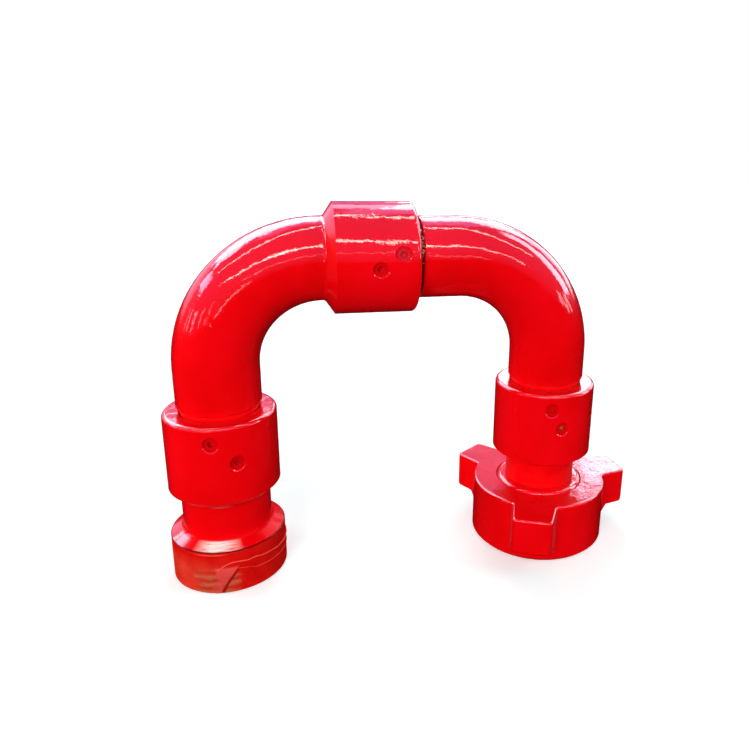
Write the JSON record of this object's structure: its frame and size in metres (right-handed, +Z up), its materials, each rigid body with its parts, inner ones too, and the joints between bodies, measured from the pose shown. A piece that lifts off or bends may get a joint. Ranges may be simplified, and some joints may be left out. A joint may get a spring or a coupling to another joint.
{
  "type": "high-pressure swivel joint",
  "caption": "Red long-sweep swivel joint: elbows joined by ball-race swivels between a threaded union end in film and a lugged wing-nut end, turning freely to carry high-pressure flow.",
  "frame": {"origin": "centre of the threaded end's bottom face, on the floor that both legs stand on", "axes": "+X from the threaded leg to the wing-nut leg, +Z up the legs, -Y the side with the ball plugs"},
  "size_m": [0.5011, 0.1947, 0.374],
  "materials": {
    "red_enamel": "thick gloss red enamel on forged steel",
    "nut_enamel": "thick gloss red enamel on a cast surface",
    "painted_plug": "steel plug under the same red enamel",
    "painted_clip": "spring clip under the same red enamel",
    "film": "thin clear stretch film that shows the red thread under it",
    "ball_steel": "polished hardened steel",
    "spring_steel": "oiled spring steel",
    "black_rubber": "moulded nitrile rubber",
    "brass": "turned brass"
  },
  "bodies": {
    "female_union": {"female_union_sub": "red_enamel", "union_lip_seal": "black_rubber", "union_backup_ring": "brass", "thread_film": "film", "left_packing_ring": "black_rubber", "left_backup_ring": "brass", "left_outer_plug": "painted_plug", "left_inner_plug": "painted_plug", "left_outer_plug_seal": "black_rubber", "left_inner_plug_seal": "black_rubber", "left_outer_plug_clip": "painted_clip", "left_inner_plug_clip": "painted_clip"},
    "left_balls": {"left_outer_balls": "ball_steel", "left_inner_balls": "ball_steel"},
    "left_elbow": {"left_elbow": "red_enamel", "left_dust_seal": "black_rubber", "cross_packing_ring": "black_rubber", "cross_backup_ring": "brass", "cross_outer_plug": "painted_plug", "cross_inner_plug": "painted_plug", "cross_outer_plug_seal": "black_rubber", "cross_inner_plug_seal": "black_rubber", "cross_outer_plug_clip": "painted_clip", "cross_inner_plug_clip": "painted_clip"},
    "cross_balls": {"cross_outer_balls": "ball_steel", "cross_inner_balls": "ball_steel"},
    "right_elbow": {"right_elbow": "red_enamel", "cross_dust_seal": "black_rubber", "right_dust_seal": "black_rubber"},
    "right_balls": {"right_outer_balls": "ball_steel", "right_inner_balls": "ball_steel"},
    "male_union": {"male_union_sub": "red_enamel", "right_packing_ring": "black_rubber", "right_backup_ring": "brass", "right_outer_plug": "painted_plug", "right_inner_plug": "painted_plug", "right_outer_plug_seal": "black_rubber", "right_inner_plug_seal": "black_rubber", "right_outer_plug_clip": "painted_clip", "right_inner_plug_clip": "painted_clip"},
    "nut_retainer": {"retainer_segment_1": "red_enamel", "retainer_segment_2": "red_enamel", "retainer_segment_3": "red_enamel", "segment_clip_ring": "spring_steel"},
    "wing_nut": {"wing_nut": "nut_enamel"}
  },
  "joints": [
    {"name": "left_swivel", "type": "hinge", "parent": "female_union", "child": "left_elbow", "pos_m": [0, 0, 0.174], "axis": [0, 0, 1], "continuous": true},
    {"name": "left_ball_orbit", "type": "hinge", "parent": "female_union", "child": "left_balls", "pos_m": [0, 0, 0.1465], "axis": [0, 0, 1], "continuous": true},
    {"name": "cross_swivel", "type": "hinge", "parent": "left_elbow", "child": "right_elbow", "pos_m": [0.1915, 0, 0.32], "axis": [1, 0, 0], "continuous": true},
    {"name": "cross_ball_orbit", "type": "hinge", "parent": "left_elbow", "child": "cross_balls", "pos_m": [0.164, 0, 0.32], "axis": [1, 0, 0], "continuous": true},
    {"name": "right_swivel", "type": "hinge", "parent": "right_elbow", "child": "male_union", "pos_m": [0.34, 0, 0.1825], "axis": [0, 0, 1], "continuous": true},
    {"name": "right_ball_orbit", "type": "hinge", "parent": "right_elbow", "child": "right_balls", "pos_m": [0.34, 0, 0.155], "axis": [0, 0, 1], "continuous": true},
    {"name": "nut_spin", "type": "hinge", "parent": "male_union", "child": "nut_retainer", "pos_m": [0.34, 0, 0.048], "axis": [0, 0, 1], "continuous": true},
    {"name": "nut_slide", "type": "slide", "parent": "nut_retainer", "child": "wing_nut", "axis": [0, 0, 1], "range_m": [-0.0075, 0.035]}
  ],
  "couplings": [
    {"joint": "left_ball_orbit", "follows": "left_swivel", "ratio": 0.4153},
    {"joint": "cross_ball_orbit", "follows": "cross_swivel", "ratio": 0.4153},
    {"joint": "right_ball_orbit", "follows": "right_swivel", "ratio": 0.5847}
  ]
}
